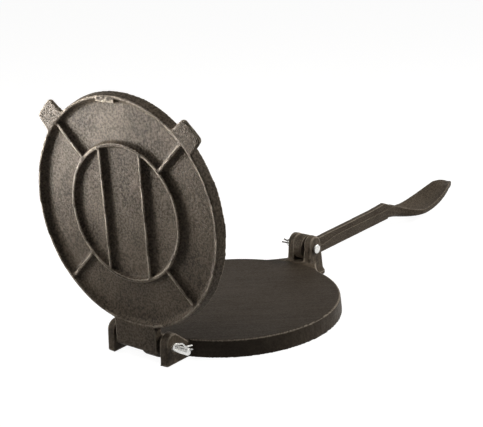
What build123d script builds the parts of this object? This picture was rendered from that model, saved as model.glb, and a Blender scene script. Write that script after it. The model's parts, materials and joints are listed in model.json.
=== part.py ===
"""Cast-iron tortilla press, drawn open: the press plate stands up on its hinge, the lever lies folded out.

Millimetres. Z is up and z = 0 is the table. The origin is the middle of the base disc, +X runs from the
plate hinge to the lever, and both hinge pins lie along Y.
"""
from build123d import *
import math
import os

# ---------------------------------------------------------------- driving dimensions (mm, degrees)
# base casting
disc_radius = 100.0           # flat pressing face of the base
base_height = 15.3            # table to pressing face
base_draft = 1.3              # the rim is this much wider at the table
base_skin = 5.6               # iron under the pressing face
base_rim_wall = 6.5           # rim thickness under the disc
base_edge_break = 0.8
web_ring_radius = 52.0        # stiffening ring under the base
web_thickness = 4.0
web_set_up = 3.0              # webs stop short of the table
web_count = 4
hub_radius = 14.0             # middle of the underside, standing on the table

# plate hinge
hinge_offset = 14.0           # pin axis outside the pressing face
hinge_height = 15.0           # pin axis above the table
pin_diameter = 6.0
pin_fit = 0.08                # running clearance of a pin in a bore, on the radius
ear_gap = 52.0                # between the two hinge ears
ear_thickness = 8.0
ear_radius = 9.1
ear_crown = 3.4               # centre of the ear's rounded top above the pin
ear_toe = 10.0                # front of the ear's foot before the pin
ear_edge_break = 1.0
ear_draft = 2.0

# press plate casting
plate_thickness = 9.1
plate_floor = 4.4             # iron between the pressing face and the pocket floors
plate_draft = 2.0             # the rim is this much smaller on the ribbed side
rim_land = 2.4
rim_inner_slope = 2.2
land_break = 0.6
pocket_round = 3.6            # cove between the rim and the pocket floor
cove_steps = 3
ring_radius = 57.5            # middle of the raised ring
rib_thickness = 3.0
rib_drop = 1.0                # rib tops below the rim
rib_slope = 0.5               # extra half thickness of a rib at its root
rib_cove = 1.1                # slope at the foot of the ribs and the ring
rib_sink = 0.6                # ribs start this far inside the floor
rib_spacing = 43.8            # between the two straight ribs inside the ring
spoke_angle = 45.0
closed_gap = 0.3              # between the two pressing faces when shut
open_angle = 91.9             # plate swung up from shut
tongue_play = 3.4             # side play of the tongue between the ears
tongue_reach = 4.4            # flat of the tongue runs this far past the pin
tongue_round = 6.0
barrel_drop = 0.4             # hinge barrel below the flat of the tongue
tab_reach = 13.8              # lift tab beyond the pressing face
tab_width = 22.5
tab_root_width = 26.0
tab_thickness = 3.8
tab_round = 3.5
tab_root_round = 3.0
tab_crown = 0.6               # the tab's outer edge is this much convex
gate_length = 20.0            # stub of the casting gate inside the rim at the free end
gate_width = 1.0              # beyond the slope of the rim's inner wall
gate_overlap = 0.6            # the stub runs this far over the rim land
gate_centre = 8.5             # beside the middle line
gate_rise = 0.5               # highest part of the broken top over the rim land
gate_break = 0.8              # depth of the broken surface
gate_bumps = 7

# opening stop of the plate
stop_width = 14.0
stop_inset = 1.6              # lug inside the near end of the tongue
stop_wall = 1.8               # lug round the barrel
stop_pad = 0.5                # pad on the base rim that the lug meets
stop_gap = 0.25
stop_drop = 6.0               # height of the toe under the pin

# lever clevis
lever_offset = 15.5           # lever pin outside the pressing face
lever_pin_height = 12.9       # lever pin above the pressing face
clevis_gap = 10.8
clevis_ear = 8.0
clevis_radius = 9.1
clevis_crown = 3.1
clevis_front_lean = 2.0
clevis_tail = 14.0            # foot of the clevis behind the lever pin
clevis_pad = 0.7              # raised pad under the lever
clevis_flare = 33.0           # half width of the flare where it leaves the disc
flare_sag = 0.8               # hollow of the flare's side
foot_height = 3.6
foot_round = 5.0
foot_spread = 2.6             # the foot stands out this far beside the ears

# lever casting
lever_stop_gap = 0.3          # bar above the clevis pad when folded out
bar_play = 0.9                # side play of the bar between the clevis ears
bar_edge_break = 1.0
bar_top = 1.6                 # ledge of the bar below the pin
bar_dip = 3.0                 # the ledge runs this much lower beside the clevis
dip_start = 27.0              # from the pin
dip_end = 50.0
web_width = 5.4
web_start = 3.0               # web top above the pin next to the knuckle
web_knee_reach = 115.0        # from here the web rises to the nose
web_knee = 4.0
nose_reach = 140.0            # pressing nose from the pin
nose_height = 5.7             # pressing nose above the pin
nose_slope = 26.0             # the web runs out over this length behind the nose
nose_round = 3.0
neck_width = 11.0
neck_run = 19.5               # nose to the neck
handle_width = 35.0
handle_run = 41.0             # neck to the widest place of the handle
tip_run = 75.5                # widest place to the tip of the handle
tip_round = 12.0              # the thick end is rounded off over this length
handle_drop = 13.6            # lowest place of the handle's rim below the pin
tip_drop = 2.5                # rim at the tip below the pin
belly_drop = 21.4             # lowest place of the underside below the pin
tip_belly = 11.6              # underside near the tip below the pin
belly_run = 8.5               # the underside is lowest this far past the widest place
handle_rim = 3.4              # height of the handle's side
neck_side = 4.5               # the side is this much higher at the neck
bowl_depth = 5.0
section_bow = 0.15            # least bow of the handle's top and underside
bowl_flats = 2                # flats of the handle's top on each side of the middle
belly_flats = 3               # flats of its underside on each side of the middle

# pins and clips
head_diameter = 9.0
head_thickness = 2.8
head_edge_break = 0.8
pin_chamfer = 0.6
pin_seat = 0.2                # head clear of the ear
hinge_pin_tail = 15.8         # pin beyond the ear, where the clip sits
lever_pin_tail = 5.8
clip_wire = 1.6
clip_fit = 0.15
clip_facets = 6               # sides of the drawn wire
hinge_clip_stand_off = 6.2    # clip from the ear's face
lever_clip_stand_off = 2.4
clip_leg = 16.0               # straight leg beyond the pin
clip_back = 8.2               # bend of the clip behind the pin
clip_rise_gap = 0.9           # sprung leg clear of the pin
clip_throat = 2.0
clip_lip = 3.2
hinge_clip_turn = -11.0       # direction of the straight leg, degrees from +X
lever_clip_turn = 157.0

# ---------------------------------------------------------------- worked out from the above
pin_radius = pin_diameter / 2
bore_radius = pin_radius + pin_fit
hinge_x = -(disc_radius + hinge_offset)
ear_inner = ear_gap / 2
ear_outer = ear_inner + ear_thickness
rim_bottom_radius = disc_radius + base_draft
lever_x = disc_radius + lever_offset
lever_z = base_height + lever_pin_height
clevis_inner = clevis_gap / 2
clevis_outer = clevis_inner + clevis_ear
pad_z = base_height + clevis_pad
tongue_width = ear_gap - 2 * tongue_play
face_lift = base_height + closed_gap - hinge_height
barrel_radius = plate_thickness + face_lift - barrel_drop
stop_radius = barrel_radius + stop_wall
stop_centre = -(tongue_width / 2 - stop_inset - stop_width / 2)
bar_width = clevis_gap - 2 * bar_play
stop_face_x = -(rim_bottom_radius + stop_pad)
hinge_x_to_pad = stop_face_x - hinge_x
neck_reach = nose_reach + neck_run
handle_reach = neck_reach + handle_run
lever_length = handle_reach + tip_run
rib_height = plate_thickness - rib_drop - plate_floor
rib_root = rib_thickness / 2 + rib_slope
rib_foot = rib_root + rib_cove + rib_sink
rib_outline = [(-rib_foot, -rib_sink), (-rib_root, rib_cove), (-rib_thickness / 2, rib_height),
               (rib_thickness / 2, rib_height), (rib_root, rib_cove), (rib_foot, -rib_sink),
               (-rib_foot, -rib_sink)]

os.makedirs("parts", exist_ok=True)


def tangent_point(centre, radius, outside, side):
    """Point where the line from `outside` touches a circle; side is +1 or -1."""
    dx = outside[0] - centre[0]
    dy = outside[1] - centre[1]
    bearing = math.atan2(dy, dx)
    half = math.acos(radius / math.hypot(dx, dy))
    angle = bearing + side * half
    return (centre[0] + radius * math.cos(angle), centre[1] + radius * math.sin(angle))


def finish(part, node):
    """Name a finished piece and write it out."""
    part.label = node
    export_step(part, f"parts/{node}.step")


# the open plate's own frame: x towards its free end, z out of its ribbed side
swing = math.radians(open_angle)
hinge_axis = Vector(hinge_x, 0, hinge_height)
plate_x = Vector(math.cos(swing), 0, math.sin(swing))
plate_z = Vector(-math.sin(swing), 0, math.cos(swing))
plate_centre = hinge_axis + plate_x * -hinge_x + plate_z * face_lift
plate_plane = Plane(origin=plate_centre, x_dir=plate_x, z_dir=plate_z)
plate_side = Plane(origin=plate_centre, x_dir=plate_x, z_dir=(0, -1, 0))

# ---------------------------------------------------------------- hinge ear of the base (near side)
ear_top = (hinge_x, hinge_height + ear_crown)
ear_front = (hinge_x - ear_toe, 0)
ear_back = (-disc_radius + 4, base_height)
ear_front_touch = tangent_point(ear_top, ear_radius, ear_front, -1)
ear_back_touch = tangent_point(ear_top, ear_radius, ear_back, 1)

with BuildPart() as hinge_ear:
    with BuildSketch(Plane.XZ.offset(ear_inner)):
        with BuildLine():
            Polyline(ear_back_touch, ear_back, (ear_back[0] + 4, 0), ear_front, ear_front_touch)
            ThreePointArc(ear_front_touch, (ear_top[0], ear_top[1] + ear_radius), ear_back_touch)
        make_face()
    extrude(amount=ear_thickness, taper=ear_draft)
    outer_face = hinge_ear.faces().sort_by(Axis.Y)[0]
    round_edges = outer_face.edges().filter_by(lambda edge: edge.center().Z > 1)
    chamfer(round_edges, length=ear_edge_break)

# ---------------------------------------------------------------- lever clevis ear (near side)
clevis_top = (lever_x + 0.6, lever_z + clevis_crown)
clevis_front = (clevis_top[0] - clevis_radius - clevis_front_lean, base_height)
clevis_back = (lever_x + clevis_tail, 0)
clevis_front_touch = tangent_point(clevis_top, clevis_radius, clevis_front, -1)
clevis_back_touch = tangent_point(clevis_top, clevis_radius, clevis_back, 1)

with BuildPart() as clevis_side:
    with BuildSketch(Plane.XZ.offset(clevis_inner)):
        with BuildLine():
            Polyline(clevis_back_touch, clevis_back, (disc_radius, 0), (disc_radius, base_height),
                     clevis_front, clevis_front_touch)
            ThreePointArc(clevis_front_touch, (clevis_top[0], clevis_top[1] + clevis_radius),
                          clevis_back_touch)
        make_face()
    extrude(amount=clevis_ear, taper=ear_draft)
    outer_face = clevis_side.faces().sort_by(Axis.Y)[0]
    round_edges = outer_face.edges().filter_by(lambda edge: edge.center().Z > base_height + 1)
    chamfer(round_edges, length=ear_edge_break)

# ---------------------------------------------------------------- base casting
with BuildPart() as base:
    with BuildSketch(Plane.XZ) as rim_profile:
        with BuildLine():
            Polyline((0, base_height), (disc_radius, base_height), (rim_bottom_radius, 0),
                     (rim_bottom_radius - base_rim_wall, 0),
                     (disc_radius - base_rim_wall - 1.5, base_height - base_skin),
                     (0, base_height - base_skin), (0, base_height))
        make_face()
        rim_corner = rim_profile.vertices().sort_by(Axis.X)[-2:].sort_by(Axis.Y)[-1]
        chamfer(rim_corner, length=base_edge_break)
    revolve(axis=Axis.Z)

    # webs under the disc: a ring and spokes
    web_depth = base_height - base_skin - web_set_up
    with BuildSketch(Plane.XY):
        Circle(hub_radius)
    extrude(amount=base_height - 1)
    with BuildSketch(Plane.XY.offset(web_set_up)):
        Circle(web_ring_radius + web_thickness / 2)
        Circle(web_ring_radius - web_thickness / 2, mode=Mode.SUBTRACT)
    extrude(amount=web_depth + 1)
    spoke_run = disc_radius - base_rim_wall - hub_radius
    with BuildSketch(Plane.XY.offset(web_set_up)):
        with PolarLocations(hub_radius + spoke_run / 2, web_count, start_angle=180 / web_count):
            Rectangle(spoke_run + 2, web_thickness)
    extrude(amount=web_depth + 1)

    # clevis boss: flare from the rim, foot and raised pad
    with BuildSketch(Plane.XY):
        with BuildLine():
            flare_start = (math.sqrt(disc_radius**2 - clevis_flare**2) - 1, -clevis_flare)
            flare_end = (lever_x, -clevis_outer)
            boss_back = lever_x + clevis_radius + 1
            flare_bend = ((flare_start[0] + flare_end[0]) / 2 - flare_sag,
                          (flare_start[1] + flare_end[1]) / 2 + flare_sag)
            ThreePointArc(flare_start, flare_bend, flare_end)
            Line(flare_end, (boss_back, -clevis_outer))
            Line((boss_back, -clevis_outer), (boss_back, clevis_outer))
            Line((boss_back, clevis_outer), (flare_end[0], clevis_outer))
            ThreePointArc((flare_end[0], clevis_outer), (flare_bend[0], -flare_bend[1]),
                          (flare_start[0], clevis_flare))
            Line((flare_start[0], clevis_flare), flare_start)
        make_face()
    extrude(amount=base_height)
    foot_x = clevis_back[0] + 0.6 - foot_round
    foot_y = clevis_outer + foot_spread - foot_round
    with BuildSketch(Plane.XY) as foot:
        foot_root = disc_radius - 4
        with Locations((foot_x, foot_y), (foot_x, -foot_y), (foot_root, foot_y), (foot_root, -foot_y)):
            Circle(foot_round)
        make_hull()
    extrude(amount=foot_height)
    with BuildSketch(Plane.XY.offset(base_height - 1)):
        with Locations((lever_x - 1, 0)):
            RectangleRounded(2 * clevis_radius + 5.0, 2 * clevis_outer + 1.0, 2.0)
    extrude(amount=clevis_pad + 1)

    # the two pairs of ears
    add(hinge_ear.part)
    add(mirror(hinge_ear.part, about=Plane.XZ))
    add(clevis_side.part)
    add(mirror(clevis_side.part, about=Plane.XZ))

    # pad that the plate's stop lug comes up against
    with BuildSketch(Plane.XY.offset(2)):
        with Locations((stop_face_x + 4, stop_centre)):
            Rectangle(8, stop_width + 2)
    extrude(amount=hinge_height - 2)

    # bores for both pins
    with BuildSketch(Plane.XZ):
        with Locations((hinge_x, hinge_height), (lever_x, lever_z)):
            Circle(bore_radius)
    extrude(amount=ear_outer + 1, both=True, mode=Mode.SUBTRACT)

finish(base.part, "base_casting")

# ---------------------------------------------------------------- tongue of the press plate
barrel_centre = (hinge_x, -face_lift)
tongue_block = hinge_offset + barrel_radius
tongue_corner = (hinge_x - tongue_reach, plate_thickness)
front_touch = tangent_point(barrel_centre, barrel_radius, tongue_corner, 1)

with BuildPart() as tongue:
    with BuildSketch(plate_side.offset(-tongue_width / 2)):
        with BuildLine():
            Polyline((-disc_radius + 3, plate_thickness), tongue_corner, front_touch, barrel_centre,
                     (hinge_x + barrel_radius * 0.9, 0.5), (-disc_radius + 3, 0.5),
                     (-disc_radius + 3, plate_thickness))
        make_face()
        with Locations(barrel_centre):
            Circle(barrel_radius)
    extrude(amount=tongue_width)
    # lower corners rounded, seen square on to the plate
    with BuildSketch(plate_plane.offset(-barrel_radius - face_lift - 1)):
        with Locations((hinge_x - barrel_radius + tongue_block, 0)):
            RectangleRounded(2 * tongue_block, tongue_width, tongue_round)
    extrude(amount=barrel_radius * 2 + plate_thickness, mode=Mode.INTERSECT)
    face_edges = tongue.edges().filter_by(lambda edge: plate_plane.to_local_coords(edge.center()).Z
                                          > plate_thickness - 0.01)
    chamfer(face_edges.filter_by(lambda edge: plate_plane.to_local_coords(edge.center()).X
                                 < -disc_radius), length=land_break)

# ---------------------------------------------------------------- press plate casting
ring_inner = ring_radius - rib_thickness / 2
ring_outer = ring_radius + rib_thickness / 2
ring_top = plate_floor + rib_height
rim_outer_top = disc_radius - plate_draft
rim_inner_top = rim_outer_top - rim_land
rim_inner_floor = rim_inner_top - rim_inner_slope

with BuildPart() as plate:
    with BuildSketch(plate_side) as disc_profile:
        # the cove is drawn in flats that touch a round of pocket_round
        wall_lean = math.atan2(rim_inner_slope, plate_thickness - plate_floor)
        cove_turn = math.pi / 2 - wall_lean
        cove_tangent = pocket_round * math.tan(cove_turn / 2)
        cove_centre = (rim_inner_floor - cove_tangent, plate_floor + pocket_round)
        cove = [(cove_centre[0] + pocket_round * math.sin(cove_turn * k / cove_steps),
                 cove_centre[1] - pocket_round * math.cos(cove_turn * k / cove_steps))
                for k in range(cove_steps, -1, -1)]
        with BuildLine():
            Polyline([(0, 0), (disc_radius, 0), (rim_outer_top, plate_thickness),
                      (rim_inner_top, plate_thickness)] + cove
                     + [(ring_outer + rib_slope, plate_floor), (ring_outer, ring_top),
                        (ring_inner, ring_top), (ring_inner - rib_slope, plate_floor),
                        (0, plate_floor), (0, 0)])
        make_face()
        root_corners = disc_profile.vertices().filter_by(
            lambda v: abs(v.Y - plate_floor) < 0.01 and 1 < v.X < ring_outer + 2)
        chamfer(root_corners, length=rib_cove)
        land_corners = disc_profile.vertices().filter_by(lambda v: abs(v.Y - plate_thickness) < 0.01)
        chamfer(land_corners, length=land_break)
    revolve(axis=Axis(plate_centre, plate_z))

    # two straight ribs inside the ring, four spokes from the ring to the rim
    rib_end = math.sqrt(ring_radius**2 - (rib_spacing / 2) ** 2)
    for side in (-1, 1):
        start = plate_plane.from_local_coords((-rib_end, side * rib_spacing / 2, plate_floor))
        with BuildSketch(Plane(origin=start, x_dir=(0, 1, 0), z_dir=plate_x)):
            with BuildLine():
                Polyline(rib_outline)
            make_face()
        extrude(amount=2 * rib_end)
    for index in range(4):
        angle = math.radians(spoke_angle + 90 * index)
        run = plate_x * math.cos(angle) + Vector(0, math.sin(angle), 0)
        across = plate_x * -math.sin(angle) + Vector(0, math.cos(angle), 0)
        start = plate_centre + run * ring_radius + plate_z * plate_floor
        with BuildSketch(Plane(origin=start, x_dir=across, z_dir=run)):
            with BuildLine():
                Polyline(rib_outline)
            make_face()
        extrude(amount=rim_inner_top - ring_radius)

    # lift tabs at the free end, flush with the rim land
    for side in (-1, 1):
        angle = math.radians(side * spoke_angle)
        tab_way = plate_x * math.cos(angle) + Vector(0, math.sin(angle), 0)
        tab_floor = plate_centre + plate_z * (plate_thickness - tab_thickness)
        with BuildSketch(Plane(origin=tab_floor, x_dir=tab_way, z_dir=plate_z)) as tab:
            tab_tip = disc_radius + tab_reach
            tab_shoulder = tab_tip - tab_crown
            with BuildLine():
                Polyline((tab_shoulder, -tab_width / 2), (rim_inner_top, -tab_root_width / 2),
                         (rim_inner_top, tab_root_width / 2), (tab_shoulder, tab_width / 2))
                ThreePointArc((tab_shoulder, tab_width / 2), (tab_tip, 0), (tab_shoulder, -tab_width / 2))
            make_face()
            Circle(rim_outer_top)
            outer_corners = tab.vertices().filter_by(lambda v: v.X > disc_radius + 5)
            fillet(outer_corners, radius=tab_round)
            root_corners = tab.vertices().filter_by(lambda v: disc_radius / 2 < v.X < disc_radius)
            fillet(root_corners, radius=tab_root_round)
            Circle(rim_outer_top - rim_land / 2, mode=Mode.SUBTRACT)
        extrude(amount=tab_thickness)

    # broken stub of the casting gate on the rim's inner wall
    gate_side = plate_plane.from_local_coords((rim_inner_floor - gate_width, gate_centre, plate_floor))
    with BuildSketch(Plane(origin=gate_side, x_dir=(0, 1, 0), z_dir=plate_x)):
        gate_top = plate_thickness - plate_floor + gate_rise
        with BuildLine():
            step = gate_length / gate_bumps
            broken = [(-gate_length / 2 + step * k, gate_top - gate_break / 2 * (1 + math.sin(2.6 * k)))
                      for k in range(gate_bumps + 1)]
            Polyline([(-gate_length / 2, -1)] + broken + [(gate_length / 2, -1), (-gate_length / 2, -1)])
        make_face()
    extrude(amount=gate_width + rim_inner_slope + gate_overlap)

    # tongue with its hinge barrel
    add(tongue.part)

    # stop lug under the barrel, drawn where it stands when the plate is open
    with BuildSketch(Plane.XZ.offset(-stop_centre - stop_width / 2)):
        toe_reach = hinge_x_to_pad - stop_gap
        lug_start = (hinge_x - stop_radius * math.cos(math.radians(35)),
                     hinge_height - stop_radius * math.sin(math.radians(35)))
        lug_end = (hinge_x + stop_radius * math.cos(math.radians(40)),
                   hinge_height - stop_radius * math.sin(math.radians(40)))
        with BuildLine():
            Polyline(lug_end, (hinge_x + toe_reach, hinge_height - stop_drop),
                     (hinge_x + toe_reach, hinge_height - 1), (hinge_x + 6, hinge_height + 2),
                     (hinge_x - barrel_radius + 0.4, hinge_height), lug_start)
            ThreePointArc(lug_start, (hinge_x, hinge_height - stop_radius), lug_end)
        make_face()
    extrude(amount=stop_width)

    # bore of the hinge
    with BuildSketch(Plane.XZ):
        with Locations((hinge_x, hinge_height)):
            Circle(bore_radius)
    extrude(amount=ear_outer, both=True, mode=Mode.SUBTRACT)

finish(plate.part, "press_plate")

# ---------------------------------------------------------------- lever casting


def ease(value, start, end):
    """0 before start, 1 after end, smooth between."""
    t = min(max((value - start) / (end - start), 0), 1)
    return t * t * (3 - 2 * t)


def lever_section(reach):
    """Half width, edge top, middle top, edge bottom and middle bottom of the handle at this reach."""
    to_neck = ease(reach, nose_reach, neck_reach)
    to_handle = ease(reach, neck_reach, handle_reach - 0.1 * handle_run)
    tip = min(max((reach - handle_reach) / tip_run, 0), 1)
    width = bar_width + (neck_width - bar_width) * to_neck + (handle_width - neck_width) * to_handle
    half = width / 2 * math.sqrt(1 - tip**1.6)
    # the rim is a bow that hangs from the ledge of the bar and levels out before the tip
    if reach < handle_reach:
        rise = (handle_drop - bar_top) * ((handle_reach - reach) / handle_run) ** 1.7
        rim = min(-handle_drop + rise, -bar_top)
    else:
        rise = (handle_drop - tip_drop) * (1.3 * tip) ** 1.7
        rim = min(-handle_drop + rise, -tip_drop)
    belly_reach = handle_reach + belly_run
    if reach < belly_reach:
        low = -bar_seat - (belly_drop - bar_seat) * ease(reach, nose_reach, belly_reach - 0.4 * handle_run)
    else:
        lift = (belly_drop - tip_belly) * ((reach - belly_reach) / (0.67 * tip_run)) ** 2
        low = min(-belly_drop + lift, -tip_belly)
    close = math.sqrt(1 - max((reach - lever_length + tip_round) / tip_round, 0) ** 2)
    middle = (rim + low) / 2
    rim = middle + (rim - middle) * close
    low = middle + (low - middle) * close
    side = min(handle_rim + neck_side * (1 - to_handle), (rim - low) * (1 - 0.15 * to_neck))
    hollow = ease(reach, neck_reach + 0.3 * handle_run, handle_reach) * (1 - tip**4) * close
    return half, rim, rim - bowl_depth * hollow + section_bow, rim - side * close + section_bow, low


def handle_outline(half, corner, top_edge, top_mid, low_edge, low_mid):
    """Section of the handle in flats: hollow top, straight rim, bellied underside."""
    run = half - corner
    top = [(run * k / bowl_flats, top_mid + (top_edge - top_mid) * (k / bowl_flats) ** 2)
           for k in range(-bowl_flats, bowl_flats + 1)]
    turns = [math.pi / 2 * k / belly_flats for k in range(belly_flats, -belly_flats - 1, -1)]
    belly = [(run * math.sin(turn), low_edge + (low_mid - low_edge) * math.cos(turn)) for turn in turns]
    near_rim = [(half, top_edge - corner), (half, low_edge + corner)]
    far_rim = [(-half, low_edge + corner), (-half, top_edge - corner)]
    return top + near_rim + belly + far_rim + [top[0]]


bar_seat = lever_z - pad_z - lever_stop_gap
knuckle_radius = bar_seat
neck_shares = (0.5, 1)
handle_shares = (0.22, 0.45, 0.7, 1)
tip_shares = (0.25, 0.5, 0.74, 0.88, 0.95, 0.985, 0.998)
handle_stations = ([nose_reach - 0.5] + [nose_reach + share * neck_run for share in neck_shares]
                   + [neck_reach + share * handle_run for share in handle_shares]
                   + [handle_reach + share * tip_run for share in tip_shares])

with BuildPart() as lever:
    # straight bar between the knuckle and the nose, its ledge dipping beside the clevis
    with BuildSketch(Plane.XZ):
        with BuildLine():
            dip_top = lever_z - bar_top - bar_dip
            ledge = lever_z - bar_top
            dip_mid = (lever_x + (dip_start + dip_end) / 2, (dip_top + ledge) / 2)
            Polyline((lever_x + dip_start, dip_top), (lever_x, dip_top), (lever_x, pad_z + lever_stop_gap),
                     (lever_x + nose_reach, pad_z + lever_stop_gap), (lever_x + nose_reach, ledge),
                     (lever_x + dip_end, ledge))
            Spline((lever_x + dip_start, dip_top), dip_mid, (lever_x + dip_end, ledge),
                   tangents=((1, 0), (1, 0)))
        make_face()
    extrude(amount=bar_width / 2, both=True)
    long_edges = lever.edges().filter_by(
        lambda edge: abs(abs(edge.center().Y) - bar_width / 2) < 0.01 and edge.length > dip_start)
    chamfer(long_edges, length=bar_edge_break)

    # neck and spoon handle
    for reach in handle_stations:
        half, top_edge, top_mid, low_edge, low_mid = lever_section(reach)
        corner = min(bar_edge_break, half * 0.45, (top_edge - low_edge) * 0.4)
        with BuildSketch(Plane(origin=(lever_x + reach, 0, lever_z), x_dir=(0, 1, 0), z_dir=(1, 0, 0))):
            with BuildLine():
                Polyline(handle_outline(half, corner, top_edge, top_mid, low_edge, low_mid))
            make_face()
    loft()

    # knuckle round the pin
    with BuildSketch(Plane.XZ):
        with Locations((lever_x, lever_z)):
            Circle(knuckle_radius)
    extrude(amount=bar_width / 2, both=True)

    # web on top, rising to the pressing nose
    with BuildSketch(Plane.XZ) as web_sketch:
        with Locations((lever_x, lever_z)):
            Circle(knuckle_radius)
        with BuildLine():
            web_first = (lever_x + web_start, lever_z + web_start - 0.1)
            web_bend = (lever_x + web_knee_reach, lever_z + web_knee)
            nose = (lever_x + nose_reach, lever_z + nose_height)
            runout = (lever_x + nose_reach + nose_slope, lever_z - nose_height + 2)
            under_nose = (lever_x + nose_reach - nose_round, lever_z - nose_height)
            Polyline(web_first, web_bend, nose, runout, under_nose,
                     (web_first[0], lever_z - nose_height), web_first)
        make_face()
        nose_corner = web_sketch.vertices().filter_by(lambda v: abs(v.X - nose[0]) < 0.01)
        fillet(nose_corner, radius=nose_round)
        knuckle_corner = web_sketch.vertices().filter_by(
            lambda v: v.Y > lever_z and knuckle_radius / 2 < v.X - lever_x < 2 * knuckle_radius)
        fillet(knuckle_corner, radius=nose_round)
    extrude(amount=web_width / 2, both=True)

    with BuildSketch(Plane.XZ):
        with Locations((lever_x, lever_z)):
            Circle(bore_radius)
    extrude(amount=bar_width, both=True, mode=Mode.SUBTRACT)

finish(lever.part, "lever")

# ---------------------------------------------------------------- hinge pins
hinge_tail_y = -(ear_outer + hinge_pin_tail)
hinge_clip_y = -(ear_outer + hinge_clip_stand_off)
lever_tail_y = clevis_outer + lever_pin_tail
lever_clip_y = clevis_outer + lever_clip_stand_off
hinge_clip_way = Vector(math.cos(math.radians(hinge_clip_turn)), 0, math.sin(math.radians(hinge_clip_turn)))
lever_clip_way = Vector(math.cos(math.radians(lever_clip_turn)), 0, math.sin(math.radians(lever_clip_turn)))
clip_hole_radius = clip_wire / 2 + clip_fit

with BuildPart() as hinge_pin:
    pin_start = ear_outer + pin_seat
    with BuildSketch(Plane.XZ.offset(-pin_start)):
        with Locations((hinge_x, hinge_height)):
            Circle(pin_radius)
    extrude(amount=pin_start - hinge_tail_y)
    chamfer(hinge_pin.edges().sort_by(Axis.Y)[0], length=pin_chamfer)
    with BuildSketch(Plane.XZ.offset(-pin_start)):
        with Locations((hinge_x, hinge_height)):
            Circle(head_diameter / 2)
    extrude(amount=-head_thickness)
    chamfer(hinge_pin.edges().sort_by(Axis.Y)[-1], length=head_edge_break)
    with BuildSketch(Plane(origin=(hinge_x, hinge_clip_y, hinge_height), z_dir=hinge_clip_way)):
        Circle(clip_hole_radius)
    extrude(amount=pin_diameter, both=True, mode=Mode.SUBTRACT)

finish(hinge_pin.part, "hinge_pin")

with BuildPart() as lever_pin:
    pin_start = -(clevis_outer + pin_seat)
    with BuildSketch(Plane.XZ.offset(-pin_start)):
        with Locations((lever_x, lever_z)):
            Circle(pin_radius)
    extrude(amount=pin_start - lever_tail_y)
    chamfer(lever_pin.edges().sort_by(Axis.Y)[-1], length=pin_chamfer)
    with BuildSketch(Plane.XZ.offset(-pin_start)):
        with Locations((lever_x, lever_z)):
            Circle(head_diameter / 2)
    extrude(amount=head_thickness)
    chamfer(lever_pin.edges().sort_by(Axis.Y)[0], length=head_edge_break)
    with BuildSketch(Plane(origin=(lever_x, lever_clip_y, lever_z), z_dir=lever_clip_way)):
        Circle(clip_hole_radius)
    extrude(amount=pin_diameter, both=True, mode=Mode.SUBTRACT)

finish(lever_pin.part, "lever_pin")

# ---------------------------------------------------------------- hairpin clips
clip_hump = pin_radius + clip_wire / 2 + clip_rise_gap
clip_points = [(clip_leg, 0), (-clip_back, 0), (-clip_back, clip_hump), (pin_radius * 0.7, clip_hump),
               (pin_radius * 0.7 + 5, clip_throat), (clip_leg - 1.5, clip_lip)]
clip_radii = [clip_hump / 2 - 0.05, clip_hump / 2 - 0.05, 3.5, 4.0]

with BuildPart() as hinge_clip:
    hinge_clip_spot = (hinge_x, hinge_clip_y, hinge_height)
    hinge_clip_plane = Plane(origin=hinge_clip_spot, x_dir=hinge_clip_way, z_dir=(0, -1, 0))
    with BuildLine(hinge_clip_plane) as clip_line:
        FilletPolyline(clip_points, radius=clip_radii)
    with BuildSketch(Plane(origin=clip_line.line @ 0, z_dir=clip_line.line % 0)):
        RegularPolygon(clip_wire / 2, clip_facets)
    sweep()

finish(hinge_clip.part, "hinge_clip")

with BuildPart() as lever_clip:
    lever_clip_spot = (lever_x, lever_clip_y, lever_z)
    lever_clip_plane = Plane(origin=lever_clip_spot, x_dir=lever_clip_way, z_dir=(0, 1, 0))
    with BuildLine(lever_clip_plane) as clip_line:
        FilletPolyline(clip_points, radius=clip_radii)
    with BuildSketch(Plane(origin=clip_line.line @ 0, z_dir=clip_line.line % 0)):
        RegularPolygon(clip_wire / 2, clip_facets)
    sweep()

finish(lever_clip.part, "lever_clip")
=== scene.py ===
import json
import math

import bmesh
import bpy
from mathutils import Matrix, Vector, noise


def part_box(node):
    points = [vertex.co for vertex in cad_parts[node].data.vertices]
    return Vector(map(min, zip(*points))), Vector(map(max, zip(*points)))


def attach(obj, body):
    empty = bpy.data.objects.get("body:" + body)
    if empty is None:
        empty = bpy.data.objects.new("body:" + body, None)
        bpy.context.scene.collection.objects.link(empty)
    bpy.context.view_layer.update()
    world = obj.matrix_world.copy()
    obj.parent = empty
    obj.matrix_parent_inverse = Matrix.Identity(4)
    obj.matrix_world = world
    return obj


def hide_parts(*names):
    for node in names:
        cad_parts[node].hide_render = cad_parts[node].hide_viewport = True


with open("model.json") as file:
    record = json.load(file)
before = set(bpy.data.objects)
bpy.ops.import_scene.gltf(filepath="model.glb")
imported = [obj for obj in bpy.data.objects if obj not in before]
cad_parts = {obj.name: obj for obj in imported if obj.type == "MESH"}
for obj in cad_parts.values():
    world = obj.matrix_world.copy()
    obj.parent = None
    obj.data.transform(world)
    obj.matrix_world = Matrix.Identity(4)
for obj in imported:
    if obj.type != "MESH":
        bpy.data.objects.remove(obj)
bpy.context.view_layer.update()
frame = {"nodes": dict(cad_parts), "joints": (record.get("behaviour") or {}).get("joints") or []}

bl_info = {
    "name": "Cast-iron tortilla press",
    "version": (1, 0, 0),
    "blender": (4, 5, 0),
    "location": "View3D > Sidebar > Press",
    "description": "Dresses the packed press: cast iron, bright pins and clips, a white studio",
    "category": "Add Mesh",
}


def joint_spot(joint_name):
    """A joint's place in the frame."""
    return Vector(next(j for j in frame["joints"] if j["name"] == joint_name)["pos_m"])


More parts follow.
